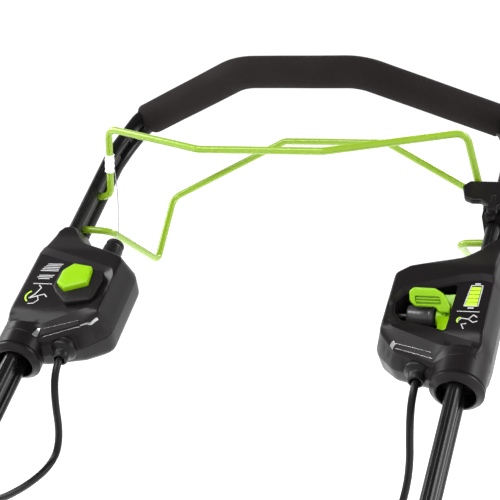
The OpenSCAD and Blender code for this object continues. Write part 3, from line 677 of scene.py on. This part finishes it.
LEFT_BOX = rounded_loop([(260, -66), (255, -56), (254, -24), (247, -12), (232, -8), (222, -14), (200, -42),
                         (168, -55), (141.5, -68), (141.5, -160), (168, -181), (208, -194), (262, -190)],
                        [6, 6, 8, 7, 7, 10, 16, 12, 18, 16, 16, 12, 10])
RIGHT_BOX = rounded_loop([(261, -18), (252, -7), (241, -8), (231, -17), (224, -28), (212, -42), (162, -61),
                          (145.5, -75), (145.5, -162), (166, -182), (208, -195), (262, -190)],
                         [8, 6, 6, 8, 10, 12, 14, 16, 18, 18, 12, 10])
DRAFT = 7.0        # how far a front cover's side walls lean in up to the rounded rim
BACK_DRAFT = 1.5
RIM = 4.0          # radius of a front cover's rim
BACK_RIM = 11.0
WALL = 2.6
SEAM = 0.35        # half the gap between the front and back covers
EDGE = 0.9         # the covers' upright edge beside the gap
SUNK = 4.2         # depth of the sunk fields
SUNK_TO = 12.0     # the field's depth fades out this far below the face
SWELL_R = 28.5     # the bulge over the collar
SWELL_FROM = -155  # it starts here and is whole over the next SWELL_RISE
SWELL_RISE = 14
SWELL_SOFT = 7.0   # the hollow where the bulge meets the face


def profile(knots, v):
    """The height at each v on the line through the knots, with its corners softened a little."""
    vs, hs = zip(*knots)
    return sum(np.interp(v + shift, vs, hs) for shift in (-2.4, -0.8, 0.8, 2.4)) / 4


FRONT = [(-210, 3.0), (-180, 16.5), (-153, 30.9), (-66, 30.9), (-34, 22.5), (-8, 20.5)]
BACK = [(-210, 20), (-192, 21), (-164, 28.9), (-60, 28.9), (-30, 23), (-8, 21)]


def face_height(p, knots):
    """Height of a box's face: the profile down the rail, swelling over the collar round the rail."""
    full = profile(knots, p[:, 1])
    across = np.clip(np.abs(np.abs(p[:, 0]) - RAIL_X), 0, SWELL_R - 0.1)
    swell = np.sqrt(SWELL_R ** 2 - across ** 2) - 1.4
    low = np.clip((SWELL_FROM - p[:, 1]) / SWELL_RISE, 0, 1)
    swell = swell * low - 60 * (1 - low)
    gap = np.clip((full - swell) / SWELL_SOFT, -1, 1)
    return np.maximum(full, swell) + SWELL_SOFT / 4 * (1 - np.abs(gap)) ** 2 * low


def shell_height(d, full, draft, rim):
    """Height of a shell's outside at depth d inside its outline, where its face is at height full."""
    wall = SEAM + EDGE + (full - rim - SEAM - EDGE) * np.clip(d / draft, 0, 1)
    e = np.clip(d - draft, 0, rim)
    arc = full - rim + np.sqrt(np.maximum(rim * rim - (rim - e) ** 2, 0))
    return np.where(d < draft, wall, arc)


def between(outer, inner, p):
    """0 outside the outer outline, 1 within the inner one, and even between them."""
    a, b = np.clip(depth_in(outer, p), 0, None), np.clip(-depth_in(inner, p), 0, None)
    return a / np.maximum(a + b, 1e-9)


def cover(name, side, outline, node, outer=None, inner=None, hole=None, back=False):
    """One half of a control box: a moulded shell with leaning sides and a rounded rim. side is -1 on the
    left. The face is sunk within inner, with an even slope from outer, where they are given."""
    knots, draft, rim = (BACK, BACK_DRAFT, BACK_RIM) if back else (FRONT, DRAFT, RIM)

    def field(p, off):
        d = depth_in(outline, p) - off
        full = face_height(p, knots)
        z = shell_height(np.maximum(d, 0), full, draft, rim)
        if outer:
            z = z - SUNK * between(outer, inner, p) * np.clip((z - full + SUNK_TO) / SUNK_TO, 0, 1)
        return z - off

    def top(p):
        return field(p, 0.0)

    def bottom(p):
        return np.where(depth_in(outline, p) < WALL, SEAM, np.maximum(field(p, WALL), SEAM))

    guides = [inset(outline, draft + rim * x) for x in (0.0, 0.04, 0.13, 0.29, 0.5, 0.74, 1.0)]
    if outer:
        guides += [outer, inner]
    points, faces = slab(outline, top, bottom, holes=[hole] if hole else [], guides=guides, step=5)
    points = [(side * x, y, -z if back else z) for x, y, z in points]
    made = piece(name, points, faces, "black_plastic", "upper_handle", replaces=(node,), smooth=32)
    if not outer:
        return
    # crisp creases where the sunk field's slope begins and ends
    flat = HANDLE.inverted()
    local = np.array([flat @ v.co for v in made.data.vertices])
    p = np.column_stack((np.abs(local[:, 0]), local[:, 1]))
    on_face = local[:, 2] > 12
    for loop in (outer, inner):
        near = (np.abs(depth_in(loop, p)) < 0.05) & on_face
        for edge in made.data.edges:
            if near[edge.vertices[0]] and near[edge.vertices[1]]:
                edge.use_edge_sharp = True


LEFT_FIELD_OUT = rounded_loop([(272, -54), (239, -64), (156, -90), (150, -104), (151, -128), (162, -150),
                               (233, -177), (272, -190)], [0, 6, 8, 6, 6, 8, 6, 0])
LEFT_FIELD_IN = rounded_loop([(272, -66), (244, -70), (165, -94), (158, -106), (158, -127), (168, -138),
                              (236, -156), (272, -164)], [0, 3, 4, 4, 4, 5, 3, 0])
RIGHT_FIELD_OUT = rounded_loop([(272, -84), (252, -78), (240, -76), (221, -79), (173, -96), (164, -102),
                                (154, -121), (156, -142), (165, -154), (238, -175), (272, -184)],
                               [0, 3, 4, 8, 5, 5, 8, 6, 6, 6, 0])
RIGHT_FIELD_IN = rounded_loop([(272, -90), (250, -84), (240, -82), (222, -85), (176, -100), (166, -105),
                               (158, -118), (160, -134), (169, -144), (236, -159), (272, -165)],
                              [0, 3, 3, 4, 4, 4, 5, 5, 5, 3, 0])
WINDOW = rounded_loop([(219, -89), (178, -102), (168, -107), (161, -118), (163, -132), (171, -142),
                       (206, -150), (217, -153)], [3, 5, 6, 7, 7, 7, 4, 3], 6)
BUTTON = rounded_loop([(-197.5, -92.2), (-175.6, -95.6), (-173, -119.5), (-196.5, -129.6), (-207.7, -121.3),
                       (-207.2, -103)], 2.5, 4)
PEDESTAL = rounded_loop([(-196, -85), (-168, -96), (-160, -107), (-163, -139), (-191, -146), (-206, -132),
                         (-213, -123), (-213, -101)], [4, 4, 5, 5, 5, 3, 3, 4], 4)


def make_boxes():
    cover("left_cover", -1, LEFT_BOX, "left_box_front", LEFT_FIELD_OUT, LEFT_FIELD_IN)
    cover("left_back_cover", -1, LEFT_BOX, "left_box_back", back=True)
    cover("right_cover", 1, RIGHT_BOX, "right_box_front", RIGHT_FIELD_OUT, RIGHT_FIELD_IN, WINDOW)
    cover("right_back_cover", 1, RIGHT_BOX, "right_box_back", back=True)
    # the six-sided housing round the start button
    made = plate(PEDESTAL, 22.5, 32.6, 1.6, holes=[inset(BUTTON, -1.1)], step=7)
    piece("button_housing", *made, "dark_panel", "upper_handle", replaces=("left_panel",), smooth=40)
    # the well the speed lever turns in
    floor, wall = level(-4.5), inset(WINDOW, -1.6)
    rim = slab(wall, level(26.9), floor, holes=[inset(WINDOW, -0.1)], step=8)
    base = slab(wall, level(-3.0), floor, step=12)
    piece("lever_well", *joined(rim, base), "dark_panel", "upper_handle", replaces=("right_panel",),
          smooth=40)


BOX_END = -170     # where the sleeves and glands come out of the boxes


def down_from(u):
    """Places a turned solid on the boxes' lower end, with its heights running down the rail."""
    return Matrix.Translation((u, BOX_END, 0)) @ Matrix.Rotation(math.pi / 2, 4, "X")


def collar(u, r):
    """The sleeve below a box that the rail comes out of: two raised rings from r below the box's end, then a
    mouth that closes on the rail."""
    outline = [(26.9, 0), (26.9, r), (25.5, r + 0.8), (25.5, r + 2.0), (27.1, r + 2.8), (27.1, r + 4.8),
               (25.8, r + 5.6), (24.8, r + 6.6), (22.8, r + 7.6), (22.0, r + 8.8), (21.0, r + 9.6),
               (19.8, r + 9.6), (19.2, r + 8.8), (18.8, r + 6), (18.8, r - 6), (6, r - 6), (6, 0)]
    return ring_turned(outline, 64, down_from(u))


def gland(u):
    """A rubber gland: a wide flange, ribs, and a tapered sleeve over the cable."""
    outline = [(4.05, -2), (11, -2), (11, 6), (14.0, 7), (14.6, 8.4), (14.2, 10), (13.2, 10.8), (13.2, 12.6),
               (14.2, 13.4), (14.2, 15.4), (13.0, 17.2), (10.6, 18.6), (9.2, 20), (8.8, 22), (8.6, 27.0),
               (7.8, 28.2), (6.2, 28.2), (5.6, 27.0), (5.4, 22), (4.05, 20)]
    return ring_turned(outline, 48, down_from(u))


def make_sleeves():
    piece("rail_collars", *joined(collar(-RAIL_X, 28.0), collar(RAIL_X, 31.5)), "black_plastic",
          "upper_handle", smooth=50)
    piece("glands", *joined(gland(LEFT_CABLE[0][0]), gland(RIGHT_CABLE[0][0])), "black_rubber",
          "upper_handle", replaces=("cable_glands",), smooth=50)
    boot = turned([(0, -70), (11, -70), (11, -32), (10.6, -30.4), (9.6, -29.2), (9.0, -28.8), (9.0, -27.4),
                   (9.6, -27.0), (10.2, -26.0), (10.4, -24.6), (9.8, -23.2), (8.2, -22.4), (4.0, -22.2),
                   (3.0, -23.0), (2.5, -26), (0, -26)], 44, along_v(BAIL_WIRE[0][0]))
    piece("bail_cable_boot", *boot, "black_rubber", "upper_handle", replaces=("cable_boot",), smooth=50)


def make_button():
    guides = [inset(BUTTON, x) for x in (0.3, 1.0, 2.2)]
    made = slab(BUTTON, rounded_top(BUTTON, 38.2, 2.2), level(24), guides=guides, step=7)
    piece("start_button_cap", *made, "lime_plastic", "start_button", replaces=("start_button",), smooth=50)


LEVER_V, LEVER_W = -120, 10    # the axis that the speed lever turns on


def finger_plate():
    """The slotted plate at the top of the speed lever, which faces down the handle."""
    outline = rounded_loop([(174.5, 6), (179, 9.8), (200, 9.6), (208, 5), (212.8, -1.2), (216, -8),
                            (216.5, -14), (206, -14), (201.5, -9), (181, -9), (175.5, -4)],
                           [4, 5, 9, 8, 8, 8, 1, 2, 4, 5, 5], 5)
    slot = rounded_loop([(180.5, 1.8), (205.5, 1.8), (208, -6.2), (182, -6.4)], 1.6, 4)
    rim = plate(outline, -4, 4, 2.0, holes=[slot], step=6, both=True)
    back = slab(inset(slot, -0.6), level(0.6), level(-3.4), step=12)
    ribs = []
    for middle in (-0.6, -3.6):
        low, high = middle - 0.7, middle + 0.7
        bar = rounded_loop([(182, high), (206, high), (206, low), (182, low)], 0.4, 2)
        ribs.append(plate(bar, 0.2, 3.2, 0.5, step=12))
    points, faces = joined(rim, back, *ribs)
    tilt = Matrix.Translation((0, -113.6, 31)) @ Matrix.Rotation(math.pi / 4, 4, "X")
    return [tilt @ Vector(q) for q in points], faces


def fan():
    """The hollow-faced plate that hangs below the finger plate's end."""
    rows, cols, thick = 14, 10, 2.4
    width, count = cols + 1, (rows + 1) * (cols + 1)
    points = []
    for depth in (0, thick):
        for i in range(rows + 1):
            s = i / rows
            left, right = 200.5 + 6.5 * s, 217.6 - 1.2 * s
            for k in range(cols + 1):
                t = k / cols
                hollow = 3.6 * math.sin(math.pi * min(1, 1.1 * s)) + 1.4 * math.sin(math.pi * t)
                points.append((left + (right - left) * t, -101 - 44.5 * s, 24.5 - 3.5 * s - hollow - depth))
    faces = []
    for i in range(rows):
        for k in range(cols):
            a = i * width + k
            faces.append([a, a + 1, a + 1 + width, a + width])
            faces.append([a + count + width, a + 1 + width + count, a + 1 + count, a + count])
    edge = [k for k in range(cols + 1)] + [i * width + cols for i in range(1, rows + 1)]
    edge += [rows * width + k for k in range(cols - 1, -1, -1)] + [i * width for i in range(rows - 1, 0, -1)]
    for i, a in enumerate(edge):
        b = edge[(i + 1) % len(edge)]
        faces.append([a, b, b + count, a + count])
    return points, faces


def make_lever():
    hub = ring_turned([(5.1, 0), (9.6, 0), (10.2, 0.6), (10.2, 9.4), (9.6, 10), (5.1, 10)], 40,
                      along_u(201.5, LEVER_V, LEVER_W))
    web = plate(rounded_loop([(-124, 9), (-128, 12), (-126, 19), (-112, 23), (-108, 14), (-114, 9)], 2, 3),
                -2, 2, 0.6, both=True)
    web = [(207 + z, x, y) for x, y, z in web[0]], web[1]
    piece("speed_lever_body", *joined(finger_plate(), fan(), hub, web), "lime_plastic", "speed_lever",
          replaces=("speed_lever",), smooth=42)
    # the drum wears the lightened grey, painted light that makes up for the shade inside the well
    drum = turned([(0, 0), (2.6, 0), (2.6, 20.0), (9.4, 20.4), (10.8, 21.2), (11.4, 22.6), (11.4, 42.0),
                   (11.0, 42.6), (11.6, 43.0), (11.6, 46.6), (10.6, 47.8), (9.0, 48.4), (5, 48.4), (5, 61),
                   (0, 61)], 48, along_u(151, LEVER_V, LEVER_W))
    piece("lever_drum_body", *drum, "dark_panel", "upper_handle", replaces=("lever_drum",), smooth=50,
          look=LIGHTENED_DRUM)


def make_paddle():
    outline = rounded_loop([(206, 57), (264, 57), (271, 49), (266, 31), (258, 27), (249, 27), (241, 20),
                            (241, 13), (230, 13), (230, 20), (222, 27), (212, 27), (204, 31), (199, 49)],
                           [5, 5, 4, 5, 4, 6, 4, 2, 2, 4, 6, 4, 5, 4], 5)
    made = plate(outline, 28.4, 35.4, 1.8, step=6, both=True)
    stem = sweep([(RAIL_X, 17, 31), (RAIL_X, 33, 31.5)], oval(4.4, 5.0, 24), (1, 0, 0), 2)
    piece("speed_paddle_body", *joined(made, stem), "black_plastic", "speed_paddle",
          replaces=("speed_paddle",), smooth=50)
    # the clamp's screw below the paddle
    screw = turned([(0, 0), (5.2, 0), (5.6, 0.5), (5.6, 4.4), (4.8, 5.4), (3.0, 5.6), (2.6, 4.6), (0, 4.6)],
                   32, Matrix.Translation((232.5, 18, 22)) @ Matrix.Rotation(math.pi / 4, 4, "X"))
    piece("clamp_screw", *screw, "dark_panel", "upper_handle", smooth=50)


def make_clip():
    """The clear clip on the blade bail, with three shallow waists."""
    def section(t):
        r = 5.6 - 0.5 * abs(math.sin(3 * math.pi * t))
        return oval(r, r, 22)
    path = [(-212.2, 63.6, 33), (-211.2, 65.2, 39), (-210, 67, 46), (-209, 68.6, 52)]
    piece("bail_clip", *sweep(spline(path, 5), section, (1, 0, 0), 1.0), "clear_clip", "blade_bail",
          replaces=("bail_cable_clip",), smooth=60)


# ---------- marks on the boxes ----------

def surface(*names):
    """The height, out of the handle's front, of the built pieces' own surface at points (u, v)."""
    flat = HANDLE.inverted()
    meshes = [bpy.data.objects[name].data for name in names]
    points, faces = joined(*(([flat @ v.co for v in mesh.vertices], [list(f.vertices) for f in mesh.polygons])
                             for mesh in meshes))
    tree = BVHTree.FromPolygons(points, faces)

    def top(p):
        hits = (tree.ray_cast(Vector((x, y, 90)), Vector((0, 0, -1)))[0] for x, y in np.asarray(p)[:, :2])
        return np.array([hit.z if hit else 0.0 for hit in hits])
    return top


def mark(outline, top, rise=0.22, deep=0.5):
    """A thin mark that lies on the cover: print, silver marks and painted highlight lines."""
    return slab(outline, lambda p: top(p) + rise, lambda p: top(p) - deep, step=2)


def stroke(points, width, top, rise=0.22):
    """A line of the width through the points, for printed lines and painted highlight lines."""
    half = width / 2
    left, right = [], []
    p = [Vector(q) for q in points]
    for i, q in enumerate(p):
        t = (p[min(i + 1, len(p) - 1)] - p[max(i - 1, 0)]).normalized()
        left.append(tuple(q + Vector((-t.y, t.x)) * half))
        right.append(tuple(q - Vector((-t.y, t.x)) * half))
    return mark(left + right[::-1], top, rise)


def arc(centre, r, a, b, n=10):
    return [(centre[0] + r * math.cos(math.radians(a + (b - a) * k / n)),
             centre[1] + r * math.sin(math.radians(a + (b - a) * k / n))) for k in range(n + 1)]


def make_left_marks(top):
    lines = []
    blocks = ((-84, ((-235, -217), (-236, -218), (-238, -219), (-239, -219), (-240, -219))),
              (-101.5, ((-239, -221), (-240, -222), (-238, -225))))
    for first, rows in blocks:
        for k, (a, b) in enumerate(rows):
            v = first - 2.6 * k
            lines.append(stroke([(a, v - 0.6), (b, v)], 0.95, top))
    lines.append(stroke([(-241, -115), (-219, -114.5)], 0.9, top))
    # a lever and its loop, with an arc of travel beside them
    lines += [stroke([(-233, -117), (-229, -121), (-233, -131), (-238, -137)], 1.3, top),
              stroke([(-238, -137), (-229, -133), (-222, -130), (-218, -134)], 1.3, top),
              stroke([(-229, -133), (-226, -139), (-230, -144), (-236, -145)], 1.1, top)]
    piece("left_marks", *joined(*lines), "dark_panel", "upper_handle", smooth=30, look=WHITE_PRINT)
    travel = stroke(arc((-234, -134), 8.5, 120, 240), 1.7, top)
    piece("left_travel_mark", *travel, "lime_plastic", "upper_handle", smooth=30, look=LIME_PRINT)


def make_right_marks(top):
    # charge gauge: a tapered frame with caps and five bars, over a lever and its loop
    corners = [(232.3, -90), (243.6, -89.6), (243.2, -118), (229.4, -118.6), (232.3, -90)]
    lines = [stroke([a, b], 0.9, top) for a, b in zip(corners, corners[1:])]
    lines += [stroke([(235.4, -87.6), (240.8, -87.4)], 1.6, top),
              stroke([(233.6, -121), (239.4, -120.8)], 1.6, top),
              stroke([(224, -126), (246, -125.6)], 0.8, top),
              stroke([(241, -130), (237, -136), (242, -140), (246, -138)], 1.1, top),
              stroke([(241, -130), (245, -133)], 1.1, top),
              stroke([(237, -136), (230, -135), (227, -139)], 1.1, top),
              stroke([(236, -142), (231, -143), (234, -149)], 1.0, top)]
    piece("right_marks", *joined(*lines), "dark_panel", "upper_handle", smooth=30, look=WHITE_PRINT)
    bars = []
    for k in range(5):
        v = -92.2 - 5.3 * k
        a, b = 233.0 - 0.55 * k, 242.4 - 0.06 * k
        bars.append(mark([(a, v), (b, v + 0.3), (b - 0.1, v - 4.2), (a - 0.45, v - 4.5)], top))
    bars.append(stroke(arc((230, -138), 4, 100, 230), 1.2, top))
    piece("charge_bars", *joined(*bars), "lime_plastic", "upper_handle", smooth=30, look=LIME_PRINT)


def make_marks():
    left = surface("left_cover", "rail_collars")
    right = surface("right_cover", "rail_collars")
    make_left_marks(left)
    make_right_marks(right)
    # raised bars below the fields, with silver tips, and painted highlight lines along their edges
    bar = rounded_loop([(-211, -174.6), (-169.2, -164.2), (-167, -166.8), (-167.6, -169.4),
                        (-207.3, -181.4), (-211.6, -182.2)], 0.8, 2)
    first = slab(bar, lambda p: left(p) + np.clip(depth_in(bar, p), 0, 1.2) * 1.3 + 0.3,
                 lambda p: left(p) - 1, guides=[inset(bar, 1.2)], step=5)
    other = rounded_loop([(171.6, -169.7), (206.6, -175.7), (208.2, -180.6), (171.0, -173.4)], 0.6, 2)
    second = slab(other, lambda p: right(p) + 0.5, lambda p: right(p) - 1, step=5)
    piece("raised_bars", *joined(first, second), "black_plastic", "upper_handle", smooth=30)
    tip = mark([(-217.2, -184), (-213.6, -174.8), (-211.2, -175.2), (-212.4, -182.6), (-214, -184.6)],
               left, 1.5)
    diamond = mark([(165, -170.2), (168.4, -167), (171.2, -169.9), (168, -173.6)], right, 0.7)
    # painted highlights: thin silver lines along the top and bottom edges of both raised bars, and one running on
    # from the left bar's end, where edge highlights fall
    thin = [stroke([(-167.3, -168.5), (-157, -163.7), (-150.3, -158.2)], 0.75, left, 0.3),
            stroke([(-211, -174.4), (-169.4, -164.0)], 0.2, left, 0.5),
            stroke([(-207.3, -181.6), (-167.8, -169.6)], 0.25, left, 0.5),
            stroke([(171.4, -169.3), (206.6, -175.4)], 0.22, right, 0.6),
            stroke([(171, -173.4), (208.2, -180.8)], 0.22, right, 0.6)]
    piece("silver_tips_and_painted_highlights", *joined(tip, diamond, *thin), "steel", "upper_handle", smooth=30, look=SILVER_AND_HIGHLIGHT)


def make_wire():
    """The bail's steel cable, which bends between its boot and the clip on the bail."""
    points, faces = sweep(spline(BAIL_WIRE, 10), oval(WIRE_R, WIRE_R, 8), (1, 0, 0))
    # the wire is real steel, in the silver that also serves for the painted highlight lines
    made = piece("bail_wire", points, faces, "steel", None, replaces=("bail_cable",), look=SILVER_AND_HIGHLIGHT)
    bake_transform(made)


make_camera()
make_cord("left_control_cable", LEFT_CABLE, "left_cable")
make_cord("right_control_cable", RIGHT_CABLE, "right_cable")
make_stage()
make_lights()
paint_cad_nodes()
make_handle_tube()
make_foam_grip()
make_bails()
make_boxes()
make_sleeves()
make_button()
make_lever()
make_paddle()
make_clip()
make_marks()
make_wire()
